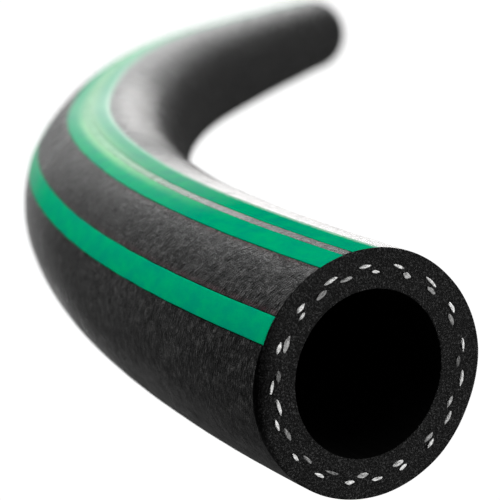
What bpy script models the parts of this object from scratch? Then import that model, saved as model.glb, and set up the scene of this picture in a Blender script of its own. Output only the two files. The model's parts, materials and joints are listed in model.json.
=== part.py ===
"""Cut length of fibre-reinforced rubber water hose with three inlaid green stripes.

Metres, +Z up; dimensions below are in millimetres and degrees.  The hose lies on
the ground in a gentle bend: it leaves the near cut end along +Y and turns towards
+X.  The origin is the middle of the hose's bounding box, at ground level.

Layers, from the bore outwards:
    inner_tube       plain rubber liner
    inner_yarn_ply   first layer of textile yarn
    outer_yarn_ply   second layer of textile yarn
    outer_cover      rubber cover, with three grooves for the stripes
    green_stripe_*   three thin strips laid in those grooves
On a real hose every layer runs through in one length.  So that rigid bodies can
bend, each layer is divided into LINKS pieces.  Two neighbouring links meet on a
sphere centred on their hinge: the far end of one is a ball in the socket of the
next, so the layers stay coaxial at any angle.
"""

import math

import bmesh
import bpy
from mathutils import Vector

MM = 0.001

# ---------------------------------------------------------------- cross-section
LAYER_GAP = 0.25         # between one layer and the next
BORE_R = 7.94            # 5/8 in bore
TUBE_OUT_R = 9.10
INNER_PLY_OUT_R = 9.85
OUTER_PLY_OUT_R = 10.55
COVER_OUT_R = 11.78

# Inside and outside radius of each layer
TUBE = (BORE_R, TUBE_OUT_R)
INNER_PLY = (TUBE_OUT_R + LAYER_GAP, INNER_PLY_OUT_R)
OUTER_PLY = (INNER_PLY_OUT_R + LAYER_GAP, OUTER_PLY_OUT_R)
COVER = (OUTER_PLY_OUT_R + LAYER_GAP, COVER_OUT_R)

GROOVE_FLOOR_R = 11.35
STRIPE_IN_R = 11.62
STRIPE_PROUD = 0.12      # height of the strips above the cover
STRIPE_OUT_R = COVER_OUT_R + STRIPE_PROUD
STRIPE_SIDE_GAP = 0.26   # between a strip and its groove's wall

# First and last angle of each groove.  Looking from the near end, 0 is the hose's
# right-hand side and 90 its top.
GROOVES = {
    "top": (90.0, 104.0),
    "mid": (108.6, 121.4),
    "side": (150.2, 163.8),
}

BOTTOM_FACET = (261.0, 279.0)  # lies flat underneath, so the hose stands on it
FACET_ANGLE = 18.5             # aimed-for width of the other facets

# ---------------------------------------------------------------- length
# Centreline: arcs of (length, radius), all turning to the right
ARCS = ((58.0, 216.0), (68.0, 320.0), (203.0, 1050.0), (193.0, 5200.0))
LENGTH = sum(length for length, _ in ARCS)

LINKS = 8
PITCH = LENGTH / LINKS   # from hinge to hinge
SEAM_R = 14.0            # radius of the sphere two links meet on
SEAM_GAP = 0.46          # clearance between the ball and the socket
BALL_R = SEAM_R - SEAM_GAP / 2
SOCKET_R = SEAM_R + SEAM_GAP / 2

TIGHT_END = 140.0        # links centred before this length have the shorter facets
TIGHT_STEP = 17.0        # longest facet along the hose where it bends most
LOOSE_STEP = 33.0        # and where it is nearly straight

SHARP_ANGLE = 35.0       # edges bent more than this are shaded sharp
SEARCH_STEPS = 40        # halvings when looking for where a line meets a seam
HINGE_DISPLAY_SIZE = 0.01  # metres


# ---------------------------------------------------------------- centreline
def centre(distance):
    """Point at a distance along the hose, and heading (turn from +Y to +X, radians)."""
    x = y = heading = 0.0
    left = distance
    for length, radius in ARCS:
        step = min(left, length)
        turn = step / radius
        x += radius * (math.cos(heading) - math.cos(heading + turn))
        y += radius * (math.sin(heading + turn) - math.sin(heading))
        heading += turn
        left -= step
    return Vector((x, y, 0.0)), heading


def hinge_point(link):
    """Centre of the hinge at a link's near end; links are counted from 1."""
    return centre((link - 1) * PITCH)[0]


def on_hose(distance, radius, angle):
    """Point at a distance along the hose, a radius and an angle round it."""
    middle, heading = centre(distance)
    around = math.radians(angle)
    right = Vector((math.cos(heading), -math.sin(heading), 0.0))
    up = Vector((0.0, 0.0, 1.0))
    return middle + radius * (math.cos(around) * right + math.sin(around) * up)


def seam(link, radius, angle, sphere_r):
    """Distance at which a line leaves the sphere round a link's near hinge."""
    middle = hinge_point(link)
    low = (link - 1) * PITCH
    high = low + 2 * sphere_r
    for _ in range(SEARCH_STEPS):
        halfway = 0.5 * (low + high)
        if (on_hose(halfway, radius, angle) - middle).length < sphere_r:
            low = halfway
        else:
            high = halfway
    return 0.5 * (low + high)


def span(link, radius, angle):
    """First and last distance of a line in a link; the hose's own ends are cut square."""
    first = seam(link, radius, angle, SOCKET_R) if link > 1 else 0.0
    last = seam(link + 1, radius, angle, BALL_R) if link < LINKS else LENGTH
    return first, last


def facets_along(link):
    """How many facets a link has along its length."""
    link_middle = (link - 0.5) * PITCH
    step = TIGHT_STEP if link_middle < TIGHT_END else LOOSE_STEP
    return math.ceil(PITCH / step)


def corner_angles():
    """Angles of the facets' corners: all groove and bottom edges, evenly filled between."""
    stops = sorted([edge for pair in GROOVES.values() for edge in pair] + [*BOTTOM_FACET])
    angles = []
    for start, end in zip(stops, stops[1:] + stops[:1]):
        gap = (end - start) % 360.0
        count = max(1, round(gap / FACET_ANGLE))
        angles += [(start + gap * k / count) % 360.0 for k in range(count)]
    return sorted(angles)


ANGLES = corner_angles()


# ---------------------------------------------------------------- mesh helpers
def new_object(name, bm, material):
    bmesh.ops.triangulate(bm, faces=[face for face in bm.faces if len(face.verts) > 3])
    bmesh.ops.recalc_face_normals(bm, faces=bm.faces)
    mesh = bpy.data.meshes.new(name)
    bm.to_mesh(mesh)
    bm.free()
    mesh.shade_smooth()
    mesh.set_sharp_from_angle(angle=math.radians(SHARP_ANGLE))
    mesh.materials.append(material)
    obj = bpy.data.objects.new(name, mesh)
    bpy.context.scene.collection.objects.link(obj)
    return obj


def add_line(bm, link, radius, angle):
    """Vertices of one lengthwise line of a link, from its near end to its far end."""
    first, last = span(link, radius, angle)
    count = facets_along(link)
    return [
        bm.verts.new(on_hose(first + (last - first) * k / count, radius, angle) * MM)
        for k in range(count + 1)
    ]


def skin(bm, line, other):
    """Faces between two lengthwise lines."""
    for k in range(len(line) - 1):
        bm.faces.new((line[k], line[k + 1], other[k + 1], other[k]))


# ---------------------------------------------------------------- pieces
def layer(name, link, radii, material, grooves=()):
    """A tube layer of one link, with any grooves sunk between their two angles."""
    inner_r, outer_r = radii
    groove_starts = {start for start, _ in grooves}
    groove_ends = {end for _, end in grooves}
    bm = bmesh.new()
    inside = []
    outside = []  # one line at each angle, or two at a groove's wall
    for angle in ANGLES:
        inside.append(add_line(bm, link, inner_r, angle))
        if angle in groove_starts:
            outer_radii = (outer_r, GROOVE_FLOOR_R)
        elif angle in groove_ends:
            outer_radii = (GROOVE_FLOOR_R, outer_r)
        else:
            outer_radii = (outer_r,)
        outside.append([add_line(bm, link, radius, angle) for radius in outer_radii])

    for i, angle in enumerate(ANGLES):
        j = (i + 1) % len(ANGLES)
        skin(bm, inside[i], inside[j])
        skin(bm, outside[i][-1], outside[j][0])
        if len(outside[i]) == 2:
            skin(bm, *outside[i])

        # End faces between two angles.  The end of a groove's wall belongs to the
        # face on the ungrooved side of it.
        outline = [inside[i]]
        if angle in groove_ends:
            outline.append(outside[i][0])
        outline += [outside[i][-1], outside[j][0]]
        if ANGLES[j] in groove_starts:
            outline.append(outside[j][1])
        outline.append(inside[j])
        for end in (0, -1):
            bm.faces.new([line[end] for line in outline])
    return new_object(name, bm, material)


def stripe(name, link, groove, material):
    """A strip of one link in its groove, with a crowned top."""
    side = math.degrees(STRIPE_SIDE_GAP / STRIPE_OUT_R)
    start, end = groove[0] + side, groove[1] - side
    middle = 0.5 * (start + end)
    outline = (  # radius, angle
        (STRIPE_IN_R, start), (STRIPE_OUT_R, start), (STRIPE_OUT_R, middle),
        (STRIPE_OUT_R, end), (STRIPE_IN_R, end), (STRIPE_IN_R, middle),
    )
    bm = bmesh.new()
    lines = [add_line(bm, link, radius, angle) for radius, angle in outline]
    for i, line in enumerate(lines):
        skin(bm, line, lines[(i + 1) % len(lines)])
    for tip in (0, -1):
        for half in ((0, 1, 2, 5), (5, 2, 3, 4)):
            bm.faces.new([lines[i][tip] for i in half])
    return new_object(name, bm, material)


def link_pieces(link, materials):
    """All layers and stripes of one link."""
    rubber, liner, green, yarn = materials
    pieces = [
        layer(f"inner_tube_{link}", link, TUBE, liner),
        layer(f"inner_yarn_ply_{link}", link, INNER_PLY, yarn),
        layer(f"outer_yarn_ply_{link}", link, OUTER_PLY, yarn),
        layer(f"outer_cover_{link}", link, COVER, rubber, tuple(GROOVES.values())),
    ]
    for place, groove in GROOVES.items():
        pieces.append(stripe(f"green_stripe_{place}_{link}", link, groove, green))
    return pieces


# ---------------------------------------------------------------- materials
def new_material(name, colour, roughness):
    material = bpy.data.materials.new(name)
    material.use_nodes = True
    shader = material.node_tree.nodes["Principled BSDF"]
    shader.inputs["Base Color"].default_value = (*colour, 1.0)
    shader.inputs["Roughness"].default_value = roughness
    shader.inputs["Metallic"].default_value = 0.0
    material.diffuse_color = (*colour, 1.0)
    return material


def make_materials():
    return (
        new_material("cover_rubber", colour=(0.022, 0.023, 0.024), roughness=0.62),
        new_material("tube_rubber", colour=(0.016, 0.016, 0.017), roughness=0.55),
        new_material("stripe_rubber", colour=(0.010, 0.355, 0.170), roughness=0.48),
        new_material("yarn", colour=(0.70, 0.70, 0.68), roughness=0.85),
    )


# ---------------------------------------------------------------- assembly
def ground_middle(objects):
    """Middle of the objects' bounding box, at its lowest height."""
    points = [vertex.co for obj in objects for vertex in obj.data.vertices]
    low, high = (
        Vector([pick(point[axis] for point in points) for axis in range(3)])
        for pick in (min, max)
    )
    return Vector(((low.x + high.x) / 2, (low.y + high.y) / 2, low.z))


def chain_links(links):
    """Hang each link's pieces on an empty at its near end, and each empty on the last."""
    origin = ground_middle([piece for pieces in links for piece in pieces])
    previous = None
    previous_place = Vector((0.0, 0.0, 0.0))
    for link, pieces in enumerate(links, start=1):
        pivot = hinge_point(link) * MM
        place = pivot - origin
        hinge = bpy.data.objects.new(f"hinge_{link}", None)
        hinge.empty_display_size = HINGE_DISPLAY_SIZE
        bpy.context.scene.collection.objects.link(hinge)
        hinge.parent = previous
        hinge.location = place - previous_place
        for piece in pieces:
            for vertex in piece.data.vertices:
                vertex.co -= pivot
            piece.parent = hinge
        previous, previous_place = hinge, place


def build():
    for obj in list(bpy.data.objects):
        bpy.data.objects.remove(obj, do_unlink=True)
    materials = make_materials()
    chain_links([link_pieces(link, materials) for link in range(1, LINKS + 1)])


build()
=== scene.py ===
"""Looks of a reinforced rubber water hose: cover with three green strips, two plies of yarn, inner tube.

The hose lies on the ground.  It starts at a cut end, runs off along +Y and curves towards +X.  Every CAD link is
replaced by finished pieces that run smoothly across the hinges.  A piece runs from the middle of one link to
the middle of the next, so its ends sit in two links and a hinge lies inside it.

Places on the hose are given by dist (along it from the near end), angle (round it: 0 right, 90 degrees up, as
seen looking along it) and radius.  Lengths are millimetres, unless a name ends in _M; angles are radians,
unless a name ends in _DEG.
"""

import json
import math
from types import SimpleNamespace

import bpy
import numpy as np
from mathutils import Matrix, Vector


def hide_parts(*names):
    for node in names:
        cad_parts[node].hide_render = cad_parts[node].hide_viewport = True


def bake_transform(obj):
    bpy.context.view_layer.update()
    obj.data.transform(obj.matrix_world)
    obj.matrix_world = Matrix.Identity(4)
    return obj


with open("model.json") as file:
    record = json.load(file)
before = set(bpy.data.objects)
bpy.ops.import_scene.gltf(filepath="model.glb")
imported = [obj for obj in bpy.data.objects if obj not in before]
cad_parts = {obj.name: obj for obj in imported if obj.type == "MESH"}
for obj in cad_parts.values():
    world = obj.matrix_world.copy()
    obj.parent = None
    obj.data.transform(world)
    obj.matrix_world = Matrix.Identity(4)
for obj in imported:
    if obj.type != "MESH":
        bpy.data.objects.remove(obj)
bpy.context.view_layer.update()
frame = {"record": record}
record = frame["record"]
TAU = 2 * math.pi
MM = 0.001                         # metres in a millimetre

# ------------------------------------------------------------------ sizes
BORE_R, COVER_R = 7.94, 11.78
JOIN_R = 9.97                      # where the tube's rubber and the cover's rubber meet, between the yarn plies
GROOVE_DEEP = 0.10
GROOVES_DEG = {"top": (90.0, 104.0), "mid": (108.6, 121.4), "side": (150.2, 163.8)}   # first and last angle
# how far each strip stands proud of the cover, and the gap to its groove's walls
STRIPE_FITS = {"top": (0.03, 0.015), "mid": (0.05, 0.04), "side": (0.07, 0.07)}
ARCS = ((58.0, 216.0), (68.0, 320.0), (203.0, 1050.0), (193.0, 5200.0))   # length, bend radius
LENGTH = sum(arc[0] for arc in ARCS)
JOINTS = record["behaviour"]["joints"]
LINKS = len(JOINTS) + 1
PITCH = LENGTH / LINKS

near_mount = next(mount for mount in record["mounts"] if mount["name"] == "near_cut_end")
START_M = np.array([near_mount["pos_m"][0], near_mount["pos_m"][1], JOINTS[0]["pos_m"][2]])
FLOOR_DROP = START_M[2] / MM       # from the hose's middle down to the ground
FLOOR_GIVE = 0.20                  # how far the hose presses into what it lies on


# ------------------------------------------------------------------ centreline
def centreline(dist):
    """x, y (from the near end's centre) and heading for an array of lengths; straight beyond both ends."""
    dist = np.asarray(dist, float)
    x, y, heading = np.zeros_like(dist), np.zeros_like(dist), np.zeros_like(dist)
    left = np.clip(dist, 0, LENGTH)
    for length, radius in ARCS:
        turn = np.clip(left, 0, length) / radius
        x += radius * (np.cos(heading) - np.cos(heading + turn))
        y += radius * (np.sin(heading + turn) - np.sin(heading))
        heading = heading + turn
        left = left - length
    beyond = np.where(dist < 0, dist, np.where(dist > LENGTH, dist - LENGTH, 0.0))
    x += beyond * np.sin(heading)
    y += beyond * np.cos(heading)
    return x, y, heading


def centre_at(dist):
    x, y, _ = centreline(np.array([dist]))
    return Vector((x[0] * MM + START_M[0], y[0] * MM + START_M[1], START_M[2]))


for index, joint in enumerate(JOINTS):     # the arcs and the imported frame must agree
    if (centre_at((index + 1) * PITCH) - Vector(joint["pos_m"])).length > 2e-5:
        raise SystemExit("the centreline does not pass through hinge " + joint["name"])


# ------------------------------------------------------------------ mesh helpers
def make_piece(name, dist, angle, radius, faces, materials, face_materials=None, sharp_deg=40.0, hose_co=None):
    """A mesh object from places on the hose.  Its hose_co attribute holds (length, across, up), or what is given."""
    across, up = radius * np.cos(angle), radius * np.sin(angle)
    if hose_co is None:
        hose_co = np.stack([dist, across, up], -1)
    x, y, heading = centreline(dist)
    points = np.stack([x + across * np.cos(heading), y - across * np.sin(heading), up], -1) * MM + START_M
    mesh = bpy.data.meshes.new(name)
    mesh.from_pydata(points.reshape(-1, 3).tolist(), [], faces)
    attribute = mesh.attributes.new("hose_co", "FLOAT_VECTOR", "POINT")
    attribute.data.foreach_set("vector", np.asarray(hose_co, np.float32).ravel())
    for material in materials:
        mesh.materials.append(material)
    if face_materials is not None:
        mesh.polygons.foreach_set("material_index", np.asarray(face_materials, np.int32))
    mesh.update()
    mesh.shade_smooth()
    mesh.set_sharp_from_angle(angle=math.radians(sharp_deg))
    obj = bpy.data.objects.new(name, mesh)
    bpy.context.scene.collection.objects.link(obj)
    return obj


# orders of a quad's corners; FLIP and TURN face the other way and differ in the corner they start from
KEEP, FLIP, TURN = [0, 1, 2, 3], [3, 2, 1, 0], [0, 3, 2, 1]


def ring_faces(rows, cols, order, closed=False):
    """Quads of a grid whose every row is a ring; if closed, the last row joins the first."""
    row, col = np.meshgrid(np.arange(rows if closed else rows - 1), np.arange(cols), indexing="ij")
    next_row, next_col = (row + 1) % rows, (col + 1) % cols
    quads = np.stack([row * cols + col, row * cols + next_col,
                      next_row * cols + next_col, next_row * cols + col], -1)
    return quads.reshape(-1, 4)[:, order]


def stations(first, last, step):
    count = max(2, int(round((last - first) / step)))
    return np.linspace(first, last, count + 1)


def ripple(seed, waves, wavelength, most_lobes):
    """A smooth pattern over the hose's surface, the same on both sides of any cut, with values about -1 to 1."""
    rng = np.random.RandomState(seed)
    lobes = rng.randint(0, most_lobes + 1, waves)
    lengths = wavelength * (0.6 + 1.2 * rng.rand(waves))
    sign = rng.choice([-1, 1], waves)
    phase = rng.rand(waves) * TAU
    size = rng.rand(waves) + 0.4
    size /= math.sqrt((size ** 2).sum() / 2) * 1.6

    def height(dist, angle):
        out = np.zeros(np.broadcast(dist, angle).shape)
        for k in range(waves):
            out += size[k] * np.cos(lobes[k] * angle + sign[k] * TAU * dist / lengths[k] + phase[k])
        return out
    return height


swell = ripple(seed=11, waves=16, wavelength=34.0, most_lobes=5)      # slow unevenness of cover and bore
pucker = ripple(seed=12, waves=26, wavelength=5.0, most_lobes=22)     # finer unevenness of the cover


def cut_noise(seed):
    """Unevenness of a cut face over its own x, z: shallow lines and small pits."""
    waves = 28
    rng = np.random.RandomState(seed)
    rates = rng.randn(waves, 2) * np.array([2.6, 1.4])
    phases = rng.rand(waves) * TAU
    sizes = 0.25 + rng.rand(waves)
    sizes /= math.sqrt((sizes ** 2).sum() / 2) * 1.5

    def height(x, z):
        out = np.zeros(np.broadcast(x, z).shape)
        for (rate_x, rate_z), phase, size in zip(rates, phases, sizes):
            out += size * np.cos(rate_x * x + rate_z * z + phase)
        return out
    return height


# ------------------------------------------------------------------ cross-section of the cover
def cover_angles():
    """Angles round the cover: an even spread, with close lines at each groove's two walls."""
    walls = [math.radians(wall) for pair in GROOVES_DEG.values() for wall in pair]
    fine = [wall + math.radians(step) for wall in walls for step in (-0.55, -0.3, -0.12, 0.0, 0.12, 0.3, 0.55)]
    even = [TAU * k / 132 for k in range(132)]
    even = [angle for angle in even if all(abs(angle - wall) > math.radians(0.9) for wall in walls)]
    return np.array(sorted(fine + even))


ANGLES = cover_angles()


def groove_depth(angle):
    """How far the cover is sunk under the strips, with small sloped lips."""
    lip = math.radians(0.3)
    share = np.zeros_like(angle)
    for pair in GROOVES_DEG.values():
        first, last = (math.radians(wall) for wall in pair)
        rise = np.clip((angle - (first - lip * 0.4)) / lip, 0, 1)
        share = np.maximum(share, rise * np.clip(((last + lip * 0.4) - angle) / lip, 0, 1))
    return GROOVE_DEEP * share


def ease(share):
    """0 to 1 along half a cosine wave."""
    return 0.5 - 0.5 * np.cos(math.pi * np.clip(share, 0, 1))


def bulge(angle, middle_deg, half_deg):
    """1 at an angle, falling smoothly to 0 a half-width away."""
    off = np.abs(np.angle(np.exp(1j * (angle - math.radians(middle_deg))))) / math.radians(half_deg)
    return np.where(off < 1, 0.5 + 0.5 * np.cos(np.minimum(off, 1) * math.pi), 0.0)


def oval(dist, angle):
    """Outside radius: slightly wider than tall at the near end, rounder further on."""
    dist = np.asarray(dist, float)
    near = 1 - np.clip((dist - 30) / 80, 0, 1)
    wide = COVER_R * (1.004 + 0.020 * near)
    tall = np.where(np.sin(angle) > 0, COVER_R * 0.997, COVER_R * 1.001)
    # away from both ends the cover is a little thicker on the inside of the curve
    ends = ease((LENGTH - 10 - dist) / 60)
    inner = ease((dist - 25) / 50) * ends
    lean = ease((dist - 55) / 80) * ends
    return (wide * tall / np.hypot(tall * np.cos(angle), wide * np.sin(angle))
            + 0.17 * near * bulge(angle, middle_deg=2, half_deg=48)
            + 0.36 * inner * bulge(angle, middle_deg=0, half_deg=70)
            + 0.34 * lean * np.cos(angle))


def cover_radius(dist, angle):
    """Outside of the cover: slightly oval and uneven, flattened where it stands on the ground."""
    radius = oval(dist, angle) + 0.022 * swell(dist, angle) + 0.007 * pucker(dist, angle) - groove_depth(angle)
    down = -np.sin(angle)
    flat = np.where(down > 0.9, (FLOOR_DROP + FLOOR_GIVE) / np.maximum(down, 0.1), 1e9)
    return np.minimum(radius, flat - 0.004)


NEAR_RIM, FAR_RIM = 0.6, 2.1       # phases of the three-lobed unevenness of each rim's rounding


def rim_fillet(angle, phase):
    """Rounding of the cut's outer edge: large on the left, smaller low on the right, slight elsewhere."""
    return (0.10 + 0.02 * np.cos(3 * angle + phase) + 0.50 * bulge(angle, middle_deg=196, half_deg=44)
            + 0.34 * bulge(angle, middle_deg=-16, half_deg=30))


def fillet_drop(behind, fillet):
    """How far the rounded edge lies inside the wall, a distance behind the cut plane."""
    share = 1 - np.clip(behind / fillet, 0, 1)
    return fillet * (1 - np.sqrt(1 - share * share))


# ------------------------------------------------------------------ yarn plies
YARNS = 18                         # in each ply
LAY = math.radians(54.7)           # angle of the yarns to the hose's length
TURNS = TAU * np.arange(YARNS) / YARNS


def make_ply(seed, angles, radius, side, half_width, half_thick, tint):
    """Places and shapes of a ply's yarns where they meet the near cut; side is the way they wind.
    The last three are given as (mean, spread, lowest and highest number of spreads)."""
    rng = np.random.RandomState(seed)

    def scatter(mean, spread, low, high):
        return mean + spread * rng.randn(YARNS).clip(low, high)

    return SimpleNamespace(
        radius=radius, side=side,
        half_width=scatter(*half_width),
        half_thick=scatter(*half_thick),
        tint=scatter(*tint),
        angles=scatter(angles, math.radians(0.9), -1.5, 1.5),
        out=0.035 + 0.05 * rng.rand(YARNS),       # how far each end stands out of the cut
        lean=0.10 * rng.randn(YARNS),             # how far it is tilted in the face
        point=0.05 + 0.4 * rng.rand(YARNS),       # 0 an oval end, 1 a leaf with two points
        lobes=rng.randn(YARNS, 2, 4))             # sizes and phases of the section's lobes


# the lay is a little uneven, so the spacing drifts slowly round the hose
PLIES = {
    "outer": make_ply(
        seed=5, radius=10.27, side=1,
        angles=math.radians(12.4) + TURNS + math.radians(5.4) * (1 - np.cos(TURNS)),
        half_width=(0.54, 0.09, -1.4, 1.8), half_thick=(0.170, 0.035, -1.4, 1.6), tint=(0.80, 0.16, -2.2, 0.9)),
    "inner": make_ply(
        seed=6, radius=9.66, side=-1,
        angles=math.radians(0.4) + TURNS + math.radians(10.5) * np.cos(TURNS - math.radians(70)),
        half_width=(0.52, 0.11, -1.2, 1.7), half_thick=(0.195, 0.05, -1.2, 1.6), tint=(0.42, 0.20, -1.4, 1.8)),
}


def yarn_angle(ply, start, dist):
    """Angle, a length along the hose, of the yarn that starts at a given angle."""
    return start + ply.side * dist * math.tan(LAY) / ply.radius


def yarn_radius(ply, angle):
    return ply.radius + 0.16 * np.cos(2 * angle - math.radians(20))


def yarn_pits(end, x, z):
    """Share, 0 to 1, of the rubber's dip round each yarn where it is cut."""
    rim = 0.14                     # how far a dip reaches past its yarn
    out = np.zeros_like(x)
    for ply in PLIES.values():
        angles = yarn_angle(ply, ply.angles, end)
        radii = yarn_radius(ply, angles)
        for k in range(YARNS):
            cos, sin = math.cos(angles[k]), math.sin(angles[k])
            off_x, off_z = x - radii[k] * cos, z - radii[k] * sin
            round_hose = (off_x * -sin + off_z * cos) / (ply.half_width[k] + rim)
            through = (off_x * -cos + off_z * -sin) / (ply.half_thick[k] + rim)
            out = np.maximum(out, np.exp(-(round_hose * round_hose + through * through) ** 1.5))
    return out


# ------------------------------------------------------------------ material helpers
class Value:
    """What a shader node puts out; arithmetic on it adds math nodes."""

    def __init__(self, graph, socket):
        self.graph, self.socket = graph, socket

    def __add__(self, other):
        return self.graph.math("ADD", self, other)

    def __sub__(self, other):
        return self.graph.math("SUBTRACT", self, other)

    def __rsub__(self, other):
        return self.graph.math("SUBTRACT", other, self)

    def __mul__(self, other):
        return self.graph.math("MULTIPLY", self, other)

    def __truediv__(self, other):
        return self.graph.math("DIVIDE", self, other)

    def remap(self, gain, offset, clamp=False):
        return self.graph.math("MULTIPLY_ADD", self, gain, offset, clamp=clamp)

    def fade(self, zero, one):
        """0 where this is at zero and beyond it, rising smoothly to 1 at one; zero may be the larger number."""
        node = self.graph.add("MapRange")
        node.interpolation_type = "SMOOTHSTEP"
        self.graph.put(node.inputs["Value"], self)
        node.inputs["From Min"].default_value = zero
        node.inputs["From Max"].default_value = one
        return Value(self.graph, node.outputs[0])

    def band(self, rise, fall):
        """Rises smoothly from 0 to 1 over one range and falls back to 0 over another."""
        return self.fade(zero=rise[0], one=rise[1]) * self.fade(zero=fall[1], one=fall[0])


def rgba(colour):
    """A colour input's value: a number stands for a grey; a Value is left alone."""
    if isinstance(colour, Value):
        return colour
    return (*colour, 1.0) if isinstance(colour, tuple) else (colour, colour, colour, 1.0)


class Graph:
    """A material and short ways to add its nodes; co is the place on the hose, from the hose_co attribute."""
    WRAP_COLUMNS, WRAP_PITCH = 146, 0.36       # ribs round the hose, and their spacing along it

    def __init__(self, name):
        self.material = bpy.data.materials.new(name)
        self.material.use_nodes = True
        self.tree = self.material.node_tree
        self.bsdf = self.tree.nodes["Principled BSDF"]
        self.co = self.attribute("hose_co", "Vector")

    def add(self, kind):
        return self.tree.nodes.new("ShaderNode" + kind)

    def put(self, socket, value):
        if isinstance(value, Value):
            self.tree.links.new(value.socket, socket)
        else:
            socket.default_value = value

    def math(self, operation, *values, clamp=False):
        node = self.add("Math")
        node.operation, node.use_clamp = operation, clamp
        for socket, value in zip(node.inputs, values):
            self.put(socket, value)
        return Value(self, node.outputs[0])

    def attribute(self, name, output):
        node = self.add("Attribute")
        node.attribute_type, node.attribute_name = "GEOMETRY", name
        return Value(self, node.outputs[output])

    def axes(self):
        """Length along the hose, distance to its right and height over its middle."""
        node = self.add("SeparateXYZ")
        self.put(node.inputs[0], self.co)
        return [Value(self, socket) for socket in node.outputs]

    def dist_and_angle_deg(self):
        dist, across, up = self.axes()
        return dist, self.math("ARCTAN2", up, across) * (360 / TAU)

    def noise(self, scale, detail=3.0, rough=0.6, stretch=None):
        vector = self.co
        if stretch is not None:
            node = self.add("Mapping")
            node.inputs["Scale"].default_value = stretch
            self.put(node.inputs["Vector"], vector)
            vector = Value(self, node.outputs[0])
        node = self.add("TexNoise")
        node.inputs["Scale"].default_value = scale
        node.inputs["Detail"].default_value = detail
        node.inputs["Roughness"].default_value = rough
        self.put(node.inputs["Vector"], vector)
        return Value(self, node.outputs[0])

    def ramp(self, value, stops):
        """Colour ramp; a stop is (place, colour)."""
        node = self.add("ValToRGB")
        elements = node.color_ramp.elements
        while len(elements) > 1:
            elements.remove(elements[-1])
        for k, (place, colour) in enumerate(stops):
            element = elements[0] if k == 0 else elements.new(place)
            element.position = place
            element.color = rgba(colour)
        self.put(node.inputs[0], value)
        return Value(self, node.outputs[0])

    def mix(self, share, colour, other):
        """colour where share is 0, other where it is 1."""
        node = self.add("Mix")
        node.data_type = "RGBA"
        self.put(node.inputs[0], share)
        self.put(node.inputs[6], rgba(colour))
        self.put(node.inputs[7], rgba(other))
        return Value(self, node.outputs[2])

    def scale(self, colour, factor):
        node = self.add("VectorMath")
        node.operation = "SCALE"
        self.put(node.inputs[0], colour)
        self.put(node.inputs["Scale"], factor)
        return Value(self, node.outputs[0])

    def bump(self, height, depth, strength):
        node = self.add("Bump")
        node.inputs["Strength"].default_value = strength
        node.inputs["Distance"].default_value = depth * MM
        self.put(node.inputs["Height"], height)
        self.normal = Value(self, node.outputs[0])
        self.put(self.bsdf.inputs["Normal"], self.normal)

    def surface(self, colour, rough, specular, sheen=None):
        """Sets the finish and returns the material.  A sheen blends it: 0 is fully matt, 1 the set finish."""
        self.put(self.bsdf.inputs["Base Color"], colour)
        self.put(self.bsdf.inputs["Roughness"], rough)
        self.put(self.bsdf.inputs["Specular IOR Level"], specular)
        if sheen is not None:
            matt = self.add("BsdfDiffuse")
            self.put(matt.inputs["Color"], colour)
            self.put(matt.inputs["Normal"], self.normal)
            blend = self.add("MixShader")
            self.put(blend.inputs[0], sheen)
            self.tree.links.new(matt.outputs[0], blend.inputs[1])
            self.tree.links.new(self.bsdf.outputs[0], blend.inputs[2])
            self.tree.links.new(blend.outputs[0], self.tree.nodes["Material Output"].inputs["Surface"])
        return self.material

    def wrap_print(self):
        """Height of the print of a woven wrap: short ribs across the hose, staggered, worn and uneven."""
        dist, across, up = self.axes()
        angle = self.math("ARCTAN2", up, across)
        column_drift = self.noise(scale=0.8, detail=2.0, rough=0.5)
        rib_drift = self.noise(scale=1.3, detail=2.0, rough=0.5)
        column = angle * (self.WRAP_COLUMNS / TAU) + (column_drift - 0.5) * 1.6
        stagger = self.math("PINGPONG", self.math("FLOOR", column), 1.0) * 0.5
        step = dist / self.WRAP_PITCH + stagger + (rib_drift - 0.5) * 1.2
        rib = self.math("COSINE", step * TAU).remap(gain=0.5, offset=0.5)
        # each rib sinks to nothing at its column's edges
        rib_end = self.math("POWER", self.math("ABSOLUTE", self.math("SINE", column * math.pi)), 0.5)
        wear_and_floor_light = self.noise(scale=1.0, stretch=(1.5, 0.9, 0.9)).remap(gain=2.4, offset=-0.65, clamp=True)
        streaks = self.noise(scale=1.0, rough=0.66, stretch=(3.1, 1.65, 1.65))
        return rib * rib_end * wear_and_floor_light * 0.26 + streaks * 1.05


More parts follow.
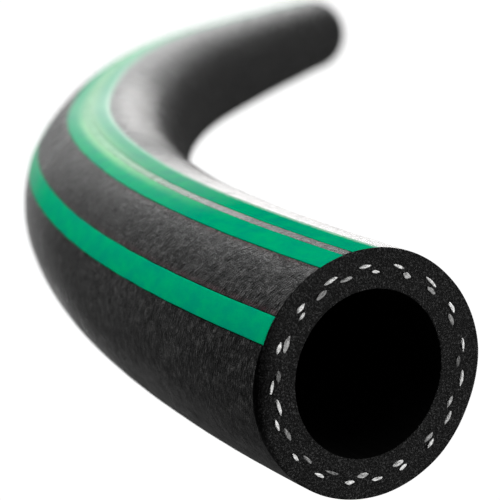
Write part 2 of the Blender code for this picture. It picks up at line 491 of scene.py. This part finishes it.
# ------------------------------------------------------------------ materials
def cover_material():
    g = Graph("cover_rubber_wrap_print")
    dist, angle = g.dist_and_angle_deg()
    weave = g.wrap_print()
    fine = g.noise(scale=8.0, rough=0.65)
    blotch = g.noise(scale=0.16)
    patch = g.noise(scale=1.1)
    g.bump(weave * 0.9 + fine * 0.40 + patch * 0.35, depth=0.25, strength=1.0)

    # near-black rubber: low places dark, high places grey, in broad lighter and darker patches
    tone = weave * 0.55 + fine * 0.45 + patch * 0.40
    black = g.ramp(tone, [(0.65, 0.0001), (0.76, 0.0016), (0.87, (0.032, 0.0316, 0.031))])
    grime = g.noise(scale=0.42, rough=0.65, stretch=(1.3, 0.8, 0.8)).remap(gain=4.6, offset=-1.05)
    black = g.scale(black, g.math("MAXIMUM", grime, 0.25))

    # along the crown near-white is painted: a painted highlight beside the top strip, strongest near the cut, painted
    # sheen high on the inside of the curve further along, and thinly between the two top strips a light dust
    beside = angle.band(rise=(62, 76), fall=(90, 92))
    crown_sheen_and_dust = beside * dist.fade(zero=75, one=25).remap(gain=0.56, offset=0.06)
    inner = angle.band(rise=(48, 66), fall=(76, 90)) * dist.band(rise=(72, 100), fall=(130, 190))
    crown_sheen_and_dust = inner.remap(gain=0.20, offset=crown_sheen_and_dust)
    between = angle.band(rise=(103, 104.5), fall=(108, 109.5)) * dist.fade(zero=8, one=30)
    crown_sheen_and_dust = between.remap(gain=0.15, offset=crown_sheen_and_dust)

    # painted reflection of the white floor: a broad band low on the left, the outside of the curve, painted lighter
    # in patches
    wear_and_floor_light = angle.band(rise=(-168, -150), fall=(-138, -124)) * dist.band(rise=(2, 25), fall=(95, 130))
    floor_light_patches = g.noise(scale=0.8, detail=4.0, rough=0.75).remap(gain=3.6, offset=-1.35, clamp=True)
    black = g.mix(wear_and_floor_light * floor_light_patches, black, 0.085)

    # a faint brown line runs past the middle strip and another before the side strip
    line = angle.band(rise=(121.0, 121.6), fall=(122.6, 124.6))
    line = g.math("MAXIMUM", line, angle.band(rise=(147.0, 149.0), fall=(150.0, 150.8)))
    speck = g.noise(scale=5.0, rough=0.7).remap(gain=2.4, offset=-0.2, clamp=True)
    crown_sheen_and_dust = crown_sheen_and_dust * speck.remap(gain=0.8, offset=0.45)
    spots = g.noise(scale=2.2, rough=0.7).remap(gain=3.2, offset=-1.15, clamp=True)
    black = g.mix(line * spots * 0.8, black, (0.040, 0.014, 0.018))
    # the painted highlight, the painted sheen and the dust are mixed in as near-white
    colour = g.mix(crown_sheen_and_dust, black, (0.95, 0.93, 0.92))

    # further along, painted sheen: a light green stands for the highlight on the narrow gap between the two top
    # strips, which is also made duller below
    gap_sheen_paint = angle.band(rise=(103, 104.5), fall=(108, 109.5)) * dist.fade(zero=22, one=76)
    colour = g.mix(gap_sheen_paint * 0.85, colour, (0.27, 0.56, 0.35))
    rough = blotch.remap(gain=0.10, offset=0.20) + fine * 0.06

    # specular: strongest on the crown, weaker on the left shoulder near the cut and inside the curve
    crown = angle.fade(zero=124, one=112) * angle.fade(zero=58, one=74)
    specular = crown.remap(gain=0.20, offset=0.32)
    shoulder = angle.fade(zero=115, one=122) * dist.fade(zero=55, one=10)
    specular = specular * shoulder.remap(gain=-0.25, offset=1.0)
    inside = angle.fade(zero=62, one=36) * angle.fade(zero=-100, one=-80)
    specular = specular * inside.remap(gain=-0.35, offset=1.0)
    specular = specular * patch.remap(gain=3.2, offset=-0.6)

    # further along, the inner side, the far left and the places beside the strips are duller
    ring = g.math("ABSOLUTE", angle)
    dull = inside * dist.fade(zero=40, one=90) * 0.48
    flank = ring.fade(zero=160, one=170) * dist.fade(zero=35, one=60) * 0.26
    side = angle.band(rise=(123, 128), fall=(148, 152)) * dist.fade(zero=85, one=110) * 0.28
    dull = dull + flank + gap_sheen_paint.remap(gain=0.50, offset=side)
    return g.surface(colour=colour, rough=rough, specular=specular, sheen=1.0 - dull)


def stripe_material():
    g = Graph("stripe_rubber_wrap_print")
    dist, angle = g.dist_and_angle_deg()
    weave = g.wrap_print()
    fine = g.noise(scale=6.0)
    blotch = g.noise(scale=0.55, rough=0.65, stretch=(0.6, 1.0, 1.0))
    g.bump(weave * 0.5 + fine * 0.35, depth=0.030, strength=0.8)
    green = [(0.38, (0.0, 0.245, 0.143)), (0.50, (0.0, 0.285, 0.138)), (0.62, (0.0, 0.325, 0.133))]
    colour = g.ramp(blotch * 0.70 + fine * 0.30, green)

    # painted sheen: further along, the two top strips are painted lighter where they face each other, and a painted
    # highlight lies raggedly along the top one's right edge
    ragged = g.noise(scale=1.6).remap(gain=3.0, offset=angle - 1.5)
    edge = ragged.fade(zero=93.6, one=91.0) * 0.38
    upper = ragged.fade(zero=115.5, one=109.0) * angle.fade(zero=106, one=107) * dist.fade(zero=18, one=74)
    upper = upper * dist.fade(zero=92, one=120).remap(gain=-0.70, offset=1.0)
    lower = ragged.fade(zero=97.5, one=103.0) * angle.fade(zero=106, one=105) * dist.fade(zero=40, one=90)
    stripe_sheen_paint = g.math("MAXIMUM", upper, lower * 0.7)
    # the painted sheen, mixed in as a light green
    colour = g.mix(stripe_sheen_paint * 0.64, colour, (0.33, 0.57, 0.31))
    # painted highlight along the top strip's right edge
    colour = g.mix(edge, colour, (0.75, 0.80, 0.74))

    # the top strip is a little deeper in colour, and so is the middle one near the cut
    top = angle.fade(zero=107, one=105)
    colour = g.scale(colour, top.remap(gain=-0.20, offset=1.0))
    middle = angle.band(rise=(105, 107), fall=(123, 125)) * dist.fade(zero=60, one=20)
    colour = g.scale(colour, middle.remap(gain=-0.14, offset=1.0))
    rough = fine.remap(gain=0.10, offset=0.33)

    # the strips are dull near the cut, the side one for longer, and slightly duller again far along
    side = angle.fade(zero=135, one=148)
    sheen = dist.remap(gain=1 / 95.0, offset=-0.26, clamp=True)
    sheen = sheen * (side * dist.fade(zero=95, one=70)).remap(gain=-0.9, offset=1.0)
    sheen = sheen * dist.fade(zero=115, one=165).remap(gain=-0.24, offset=1.0)
    return g.surface(colour=colour, rough=rough, specular=0.5, sheen=sheen)


def cut_material():
    g = Graph("cut_rubber")
    fine = g.noise(scale=8.0, rough=0.75)
    grit = g.noise(scale=4.4, detail=2.0)
    drag = g.noise(scale=1.6, stretch=(1.0, 0.35, 1.9))
    g.bump(fine * 0.8 + drag * 0.5 + grit * 0.5, depth=0.12, strength=1.0)
    # painted shade: the left rim of the cut is painted darker, and it is less shiny
    across = g.axes()[1]
    side = across.fade(zero=-12.0, one=-9.6).remap(gain=0.90, offset=0.16)
    tone = fine * 0.6 + grit * 0.3 + drag * 0.1
    colour = g.ramp(tone, [(0.46, 0.0001), (0.53, 0.0028), (0.61, 0.0340)])
    return g.surface(colour=g.scale(colour, side), rough=fine.remap(gain=0.2, offset=0.40),
                     specular=side * 0.26)


def bore_material():
    g = Graph("liner_rubber")
    lines = g.noise(scale=1.4, stretch=(0.04, 1.6, 1.6))
    fine = g.noise(scale=5.0)
    g.bump(lines * 0.8 + fine * 0.3, depth=0.03, strength=0.6)
    return g.surface(colour=g.ramp(lines, [(0.3, 0.0012), (0.7, 0.0028)]),
                     rough=fine.remap(gain=0.15, offset=0.46), specular=0.08)


def yarn_material():
    """The coordinates here run along, across and through each yarn; the fibres show as streaks across its cut end."""
    g = Graph("yarn_textile")
    tint = g.attribute("tint", "Fac")
    fibres = g.noise(scale=1.0, rough=0.7, stretch=(2.0, 2.2, 9.0))
    specks = g.noise(scale=11.0, rough=0.7)
    clump = g.noise(scale=2.6, detail=2.0, rough=0.5)
    g.bump(fibres * 0.9 + specks * 0.6, depth=0.10, strength=1.0)
    shade = fibres * 2.8 + specks * 1.5 + clump * 1.4
    shade = shade.remap(gain=0.82, offset=-1.68, clamp=True) * tint
    return g.surface(colour=g.scale((0.93, 0.93, 0.92), shade), rough=0.8, specular=0.2)


MAT_COVER = cover_material()
MAT_STRIPE = stripe_material()
MAT_CUT = cut_material()
MAT_BORE = bore_material()
MAT_YARN = yarn_material()


# ------------------------------------------------------------------ pieces; piece k crosses hinge k
def span(k):
    """First and last length of piece k, and whether it holds the near and the far cut."""
    near, far = k == 1, k == LINKS - 1
    return 0.0 if near else (k - 0.5) * PITCH, LENGTH if far else (k + 0.5) * PITCH, near, far


def cut_end_rows(wall_radius, fillet, end, outside):
    """Rows (dist, radius) of a cut end: round the visible wall's edge, then over the face to JOIN_R."""
    inward = 1.0 if end == 0 else -1.0         # from the cut into the hose
    to_face = -1.0 if outside else 1.0         # from the wall towards JOIN_R
    wall = wall_radius(end + inward * fillet, ANGLES)
    rows = []
    for turn in np.linspace(0, 1, 7)[:-1] * (math.pi / 2):
        dist = end + inward * fillet * (1 - math.sin(turn)) + inward * 0.03 * math.sin(turn)
        rows.append((dist, wall + to_face * fillet * (1 - math.cos(turn))))
    face_start = wall + to_face * fillet
    uneven = cut_noise(21 if end == 0 else 22)
    for share in np.linspace(0, 1, 20 if outside else 22):
        radius = face_start + (JOIN_R - face_start) * share
        x, z = radius * np.cos(ANGLES), radius * np.sin(ANGLES)
        dip = 0.02 + 0.011 * (1 + uneven(x, z)) + 0.07 * yarn_pits(end, x, z)
        rows.append((end + inward * dip, radius))
    return rows


def build_shell(name, k, wall_radius, near_fillet, far_fillet, wall_material, outside):
    """Tube piece k between JOIN_R and a visible wall, which lies outside or inside it.  The hidden wall at JOIN_R
    is coarse."""
    first, last, near, far = span(k)
    near_end = cut_end_rows(wall_radius, near_fillet, 0.0, outside) if near else []
    far_end = cut_end_rows(wall_radius, far_fillet, LENGTH, outside) if far else []

    # the visible wall runs between the fillets; its last row at a cut is the fillet's first
    fine = stations(first + (near_fillet.max() if near else 0), last - (far_fillet.max() if far else 0), 0.8)
    shares = ((fine - fine[0]) / (fine[-1] - fine[0]))[::-1]
    start = near_fillet if near else first
    stop = LENGTH - far_fillet if far else last
    wall = []
    for share in shares[int(far):len(shares) - int(near)]:
        dist = start + (stop - start) * share + np.zeros_like(ANGLES)
        wall.append((dist, wall_radius(dist, ANGLES)))
    coarse = stations(first, last, 4.0)
    hidden = [(dist, JOIN_R) for dist in coarse[int(near):len(coarse) - int(far)]]

    rows = far_end[::-1] + wall + near_end + hidden
    cut = np.array([1] * len(far_end) + [0] * len(wall) + [1] * len(near_end) + [0] * len(hidden))
    dist = np.array([row[0] + np.zeros_like(ANGLES) for row in rows])
    radius = np.array([row[1] + np.zeros_like(ANGLES) for row in rows])
    cols = len(ANGLES)
    faces = ring_faces(len(rows), cols, KEEP if outside else FLIP, closed=True).tolist()
    face_materials = np.repeat(np.minimum(cut, np.roll(cut, -1)), cols)
    return make_piece(name, dist, np.broadcast_to(ANGLES, dist.shape), radius, faces,
                      [wall_material, MAT_CUT], face_materials)


def build_cover(k):
    return build_shell(f"outer_cover_run_{k}", k, cover_radius, rim_fillet(ANGLES, NEAR_RIM),
                       rim_fillet(ANGLES, FAR_RIM), MAT_COVER, outside=True)


def bore_radius(dist, angle):
    return BORE_R + 0.02 * swell(dist, angle)


def build_tube(k):
    fillet = 0.10 + 0.02 * np.cos(2 * ANGLES)
    return build_shell(f"inner_tube_run_{k}", k, bore_radius, fillet, fillet + 0.01, MAT_BORE, outside=False)


def stripe_section(half_width, proud):
    """Section of a strip as (across, height over the cover), starting at the foot of its low-angle side."""
    corner = 0.8 * proud
    foot = -GROOVE_DEEP - 0.04
    flat = half_width - corner     # half width of the flat top
    shares = np.linspace(0, 1, 6)
    section = [(-half_width, foot)]
    for turn in shares * (math.pi / 2):
        section.append((-flat - corner * math.cos(turn), proud - corner + corner * math.sin(turn)))
    for share in np.linspace(0, 1, 13)[1:-1]:
        section.append((-flat + 2 * flat * share, proud))
    for turn in (1 - shares) * (math.pi / 2):
        section.append((flat + corner * math.cos(turn), proud - corner + corner * math.sin(turn)))
    for share in np.linspace(0, 1, 9)[:-1]:
        section.append((half_width - 2 * half_width * share, foot))
    return np.array(section)


STRIPE_END_ROWS = [0.045, 0.06, 0.08, 0.11, 0.15, 0.20, 0.27, 0.36, 0.5]     # distances behind a cut


def build_stripe(place, k):
    """A thin strip with rounded shoulders, standing a little proud of the cover; it ends on the rim's rounding."""
    first, last, near, far = span(k)
    groove_deg = GROOVES_DEG[place]
    proud, gap = STRIPE_FITS[place]
    low = math.radians(groove_deg[0]) + gap / COVER_R
    high = math.radians(groove_deg[1]) - gap / COVER_R
    section = stripe_section((high - low) * COVER_R / 2, proud)
    rows = list(stations(first, last, 0.8))
    if near:
        rows = STRIPE_END_ROWS + [row for row in rows if row > 0.9]
    if far:
        rows = [row for row in rows if row < LENGTH - 0.9] + [LENGTH - row for row in STRIPE_END_ROWS[::-1]]
    cols = len(section)
    dist = np.repeat(np.array(rows)[:, None], cols, 1)
    wavy = ripple(seed=31 + int(groove_deg[0]), waves=14, wavelength=7.0, most_lobes=0)
    across = section[None, :, 0] + 0.016 * wavy(dist, 0 * dist)
    angle = (high + low) / 2 + across / COVER_R
    cover = cover_radius(dist, angle) + groove_depth(angle)
    height = np.repeat(section[None, :, 1], len(rows), 0)
    for is_end, behind, phase in ((near, dist, NEAR_RIM), (far, LENGTH - dist, FAR_RIM)):
        if is_end:
            cover = cover - fillet_drop(behind, rim_fillet(angle, phase))
            height = np.where(height > 0, height * np.clip(0.25 + behind / 0.16, 0, 1), height)
    faces = ring_faces(len(rows), cols, KEEP).tolist()
    face_materials = [0] * len(faces) + [int(near), int(far)]
    faces.append(list(range(cols))[::-1])
    faces.append([(len(rows) - 1) * cols + col for col in range(cols)])
    return make_piece(f"green_stripe_{place}_run_{k}", dist, angle, cover + height, faces,
                      [MAT_STRIPE, MAT_CUT], face_materials, sharp_deg=50)


# rounding of a yarn's cut end: share of its stand-out, size of the section there
YARN_TIP = ((1.0, 0.25), (0.97, 0.60), (0.85, 0.84), (0.5, 0.96))
YARN_END_ROWS = [0.0, 0.15, 0.4, 0.8]          # distances behind a cut


def yarn_rows(ply, n, k):
    """Lengths and section sizes of the rows of yarn n over piece k."""
    first, last, near, far = span(k)
    rows = list(stations(first, last, 1.5))
    near_tip, far_tip = [], []
    if near:
        near_tip = [(-ply.out[n] * share, size) for share, size in YARN_TIP]
        rows = YARN_END_ROWS + [row for row in rows if row > 1.3]
    if far:
        out = ply.out[(n * 7) % YARNS]         # another yarn's, so that the two cuts differ
        far_tip = [(LENGTH + out * share, size) for share, size in YARN_TIP[::-1]]
        rows = [row for row in rows if row < LENGTH - 1.3] + [LENGTH - row for row in YARN_END_ROWS[::-1]]
    return np.array(near_tip + [(row, 1.0) for row in rows] + far_tip).T


def build_ply(kind, k):
    """Eighteen yarns of a ply over piece k, one closed body each; at the hose's own ends they stand out."""
    ply = PLIES[kind]
    cols = 22
    turn = np.arange(cols) * TAU / cols        # round a yarn's section
    places, coords, faces, tints = [], [], [], []
    base = 0
    for n in range(YARNS):
        row_dist, size = yarn_rows(ply, n, k)
        rows = len(row_dist)
        middle = yarn_angle(ply, ply.angles[n], row_dist)
        radius = yarn_radius(ply, middle)
        lobe = 1 + sum(0.045 * ply.lobes[n, 0, m]
                       * np.cos((m + 2) * turn + ply.lobes[n, 1, m] * 3 + row_dist[:, None] * 0.6)
                       for m in range(4))
        across = ply.half_width[n] * np.cos(turn)[None, :] * lobe * size[:, None]
        leaf = 1 - ply.point[n] * np.cos(turn) ** 2
        through = ply.half_thick[n] * (np.sin(turn) * leaf)[None, :] * lobe * size[:, None]
        dist = np.repeat(row_dist[:, None], cols, 1)
        places.append(np.stack([dist, middle[:, None] + across / radius[:, None],
                                radius[:, None] + (through + ply.lean[n] * across)], -1).reshape(-1, 3))
        # offsets give every yarn its own part of the texture
        coords.append(np.stack([dist * 0.5, across + 5.0 * n, through + 3.0 * (kind == "outer")],
                               -1).reshape(-1, 3))
        tints.append(np.full(rows * cols, ply.tint[n]))
        faces += (ring_faces(rows, cols, TURN) + base).tolist()
        faces.append([base + col for col in range(cols)])
        faces.append([base + (rows - 1) * cols + col for col in range(cols)][::-1])
        base += rows * cols
    dist, angle, radius = np.concatenate(places).T
    obj = make_piece(f"{kind}_yarns_run_{k}", dist, angle, radius, faces, [MAT_YARN], sharp_deg=70,
                     hose_co=np.concatenate(coords))
    attribute = obj.data.attributes.new("tint", "FLOAT", "POINT")
    attribute.data.foreach_set("value", np.concatenate(tints).astype(np.float32))
    return obj


made = []                          # slot, CAD node, piece number, object
for k in range(1, LINKS):
    made.append(("cover_rubber", "outer_cover", k, build_cover(k)))
    made.append(("tube_rubber", "inner_tube", k, build_tube(k)))
    for place in GROOVES_DEG:
        made.append(("stripe_rubber", f"green_stripe_{place}", k, build_stripe(place, k)))
    for kind in ("inner", "outer"):
        made.append(("yarn", f"{kind}_yarn_ply", k, build_ply(kind, k)))

for slot, node_name, k, obj in made:
    centre_at((k - 0.5) * PITCH)
    centre_at((k + 0.5) * PITCH)
    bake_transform(obj)
    # the last piece also stands for the last link
    nodes = [f"{node_name}_{k}"] + ([f"{node_name}_{LINKS}"] if k == LINKS - 1 else [])
    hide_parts(*nodes)


# ------------------------------------------------------------------ stage
scene = bpy.context.scene
VIEW_HEADING = 0.537               # of the camera, from +Y towards +X
AWAY = Vector((math.sin(VIEW_HEADING), math.cos(VIEW_HEADING), 0.0))      # level direction the camera looks along
LEFT = Vector((-AWAY.y, AWAY.x, 0.0))
RIGHT = -LEFT
UP = Vector((0, 0, 1))
WHITE_STRENGTH = 1.05              # of the white that the camera sees behind and below the hose


def build_floor():
    """White ground seen by the camera alone.  It lies well under the hose, so that a joint pose which dips stays
    in sight."""
    half = 6.0                     # metres
    z = -400 * MM
    mesh = bpy.data.meshes.new("floor")
    mesh.from_pydata([(-half, -half, z), (half, -half, z), (half, half, z), (-half, half, z)], [], [(0, 1, 2, 3)])
    obj = bpy.data.objects.new("floor", mesh)
    scene.collection.objects.link(obj)
    material = bpy.data.materials.new("white_floor")
    material.use_nodes = True
    tree = material.node_tree
    tree.nodes.clear()
    output = tree.nodes.new("ShaderNodeOutputMaterial")
    white = tree.nodes.new("ShaderNodeEmission")
    white.inputs["Strength"].default_value = WHITE_STRENGTH
    tree.links.new(white.outputs[0], output.inputs["Surface"])
    mesh.materials.append(material)
    for kind in ("diffuse", "glossy", "transmission", "volume_scatter", "shadow"):
        setattr(obj, "visible_" + kind, False)


build_floor()


# ------------------------------------------------------------------ light
def toward(right_deg, up_deg):
    """A direction, by its angles to the right of and above the way the camera looks."""
    right, up = math.radians(right_deg), math.radians(up_deg)
    return (AWAY * math.cos(right) + RIGHT * math.sin(right)) * math.cos(up) + UP * math.sin(up)


# what the sheen mirrors: a dark room with bright soft patches low behind the hose and one wide one on the right
ROOM_STRENGTH = 0.121
SKY_PATCHES = (                    # degrees right, up, to where the patch is full, to where it ends; strength
    (2, 30, 2, 11, 8.26), (-9, 30, 2, 11, 4.36), (95, 10, 10, 35, 0.95), (-9, -8, 2, 11, 1.77),
    (-32, 16, 2, 11, 1.24), (-9, 16, 2, 11, 1.05), (2, 16, 2, 11, 1.00), (-9, 4, 2, 11, 0.62),
    (14, 16, 2, 11, 0.35), (-46, 30, 2, 11, 0.29), (-32, -8, 2, 11, 0.15), (-20, 4, 2, 11, 0.14),
    (2, 4, 2, 11, 0.13))


def build_sky():
    """World light made of soft round patches, for the sheen only; the camera itself sees plain white."""
    world = bpy.data.worlds.new("studio")
    scene.world = world
    world.use_nodes = True
    tree = world.node_tree
    tree.nodes.clear()
    link = tree.links.new

    def add(kind):
        return tree.nodes.new("ShaderNode" + kind)

    def patch(direction, inner_deg, outer_deg):
        dot = add("VectorMath")
        dot.operation = "DOT_PRODUCT"
        dot.inputs[1].default_value = direction
        link(view, dot.inputs[0])
        edge = add("MapRange")
        edge.interpolation_type = "SMOOTHSTEP"
        edge.inputs["From Min"].default_value = math.cos(math.radians(outer_deg))
        edge.inputs["From Max"].default_value = math.cos(math.radians(inner_deg))
        link(dot.outputs["Value"], edge.inputs["Value"])
        return edge.outputs[0]

    def background():
        node = add("Background")
        node.inputs["Color"].default_value = (1, 1, 1, 1)
        return node

    view = add("TexCoord").outputs["Generated"]
    total = None
    for right_deg, up_deg, inner_deg, outer_deg, strength in SKY_PATCHES:
        share = patch(toward(right_deg, up_deg), inner_deg, outer_deg)
        node = add("Math")
        node.operation = "MULTIPLY_ADD"
        link(share, node.inputs[0])
        node.inputs[1].default_value = strength
        if total is None:
            node.inputs[2].default_value = ROOM_STRENGTH
        else:
            link(total, node.inputs[2])
        total = node.outputs[0]
    light = background()
    link(total, light.inputs["Strength"])
    white = background()
    white.inputs["Strength"].default_value = WHITE_STRENGTH
    path = add("LightPath")
    mix = add("MixShader")
    output = add("OutputWorld")
    link(path.outputs["Is Camera Ray"], mix.inputs[0])
    link(light.outputs[0], mix.inputs[1])
    link(white.outputs[0], mix.inputs[2])
    link(mix.outputs[0], output.inputs["Surface"])
    world.cycles_visibility.diffuse = False


build_sky()

SOFT_LIGHTS = (                    # name, direction it comes from, strength, angular size in degrees
    ("top", toward(0, 85), 3.2, 64),
    ("behind_right", toward(118, 0), 3.5, 56),
    ("left_high", toward(-40, 40), 1.0, 50),
    ("left_middle", toward(-60, 20), 1.35, 50),
    ("left_low", toward(-75, -5), 1.20, 50),
    ("right_low", toward(60, 5), 0.26, 56),
    ("front_low", (RIGHT * 0.5 - AWAY * 0.85 + UP * 0.15).normalized(), 1.20, 30))


def soft_light(name, direction, strength, angle_deg):
    """A very wide lamp that lights the colours; the sheen mirrors the sky's patches and not these."""
    light = bpy.data.lights.new(name, "SUN")
    light.energy, light.angle = strength, math.radians(angle_deg)
    obj = bpy.data.objects.new(name, light)
    obj.rotation_mode = "QUATERNION"
    obj.rotation_quaternion = (-direction).to_track_quat("-Z", "Y")
    obj.visible_glossy = False
    scene.collection.objects.link(obj)


for entry in SOFT_LIGHTS:
    soft_light(*entry)


# ------------------------------------------------------------------ camera
NEAR_END_M = Vector(START_M)
CAM_BACK_M, CAM_LEFT_M, CAM_UP_M = 0.17744, 0.01157, 0.04088     # from the near end's centre
PITCH_DOWN, ROLL = 0.16785, 0.0577
FOCUS_OFFSET_M = Vector((-0.004, 0.004, 0))


def build_camera():
    lens = bpy.data.cameras.new("camera")
    camera = bpy.data.objects.new("camera", lens)
    scene.collection.objects.link(camera)
    lens.sensor_width, lens.lens = 36.0, 144.0
    lens.clip_start, lens.clip_end = 0.01, 50.0
    camera.location = NEAR_END_M - AWAY * CAM_BACK_M + LEFT * CAM_LEFT_M + Vector((0, 0, CAM_UP_M))
    look = AWAY * math.cos(PITCH_DOWN) - Vector((0, 0, math.sin(PITCH_DOWN)))
    camera.rotation_mode = "QUATERNION"
    camera.rotation_quaternion = look.to_track_quat("-Z", "Y") @ Matrix.Rotation(ROLL, 3, "Z").to_quaternion()
    focus = bpy.data.objects.new("focus_on_cut_end", None)
    focus.location = NEAR_END_M + FOCUS_OFFSET_M
    scene.collection.objects.link(focus)
    lens.dof.use_dof = True
    lens.dof.focus_object = focus
    lens.dof.aperture_fstop = 84.0
    scene.camera = camera


build_camera()

scene.view_settings.view_transform = "Standard"
scene.view_settings.look = "None"
scene.view_settings.exposure = 0.0
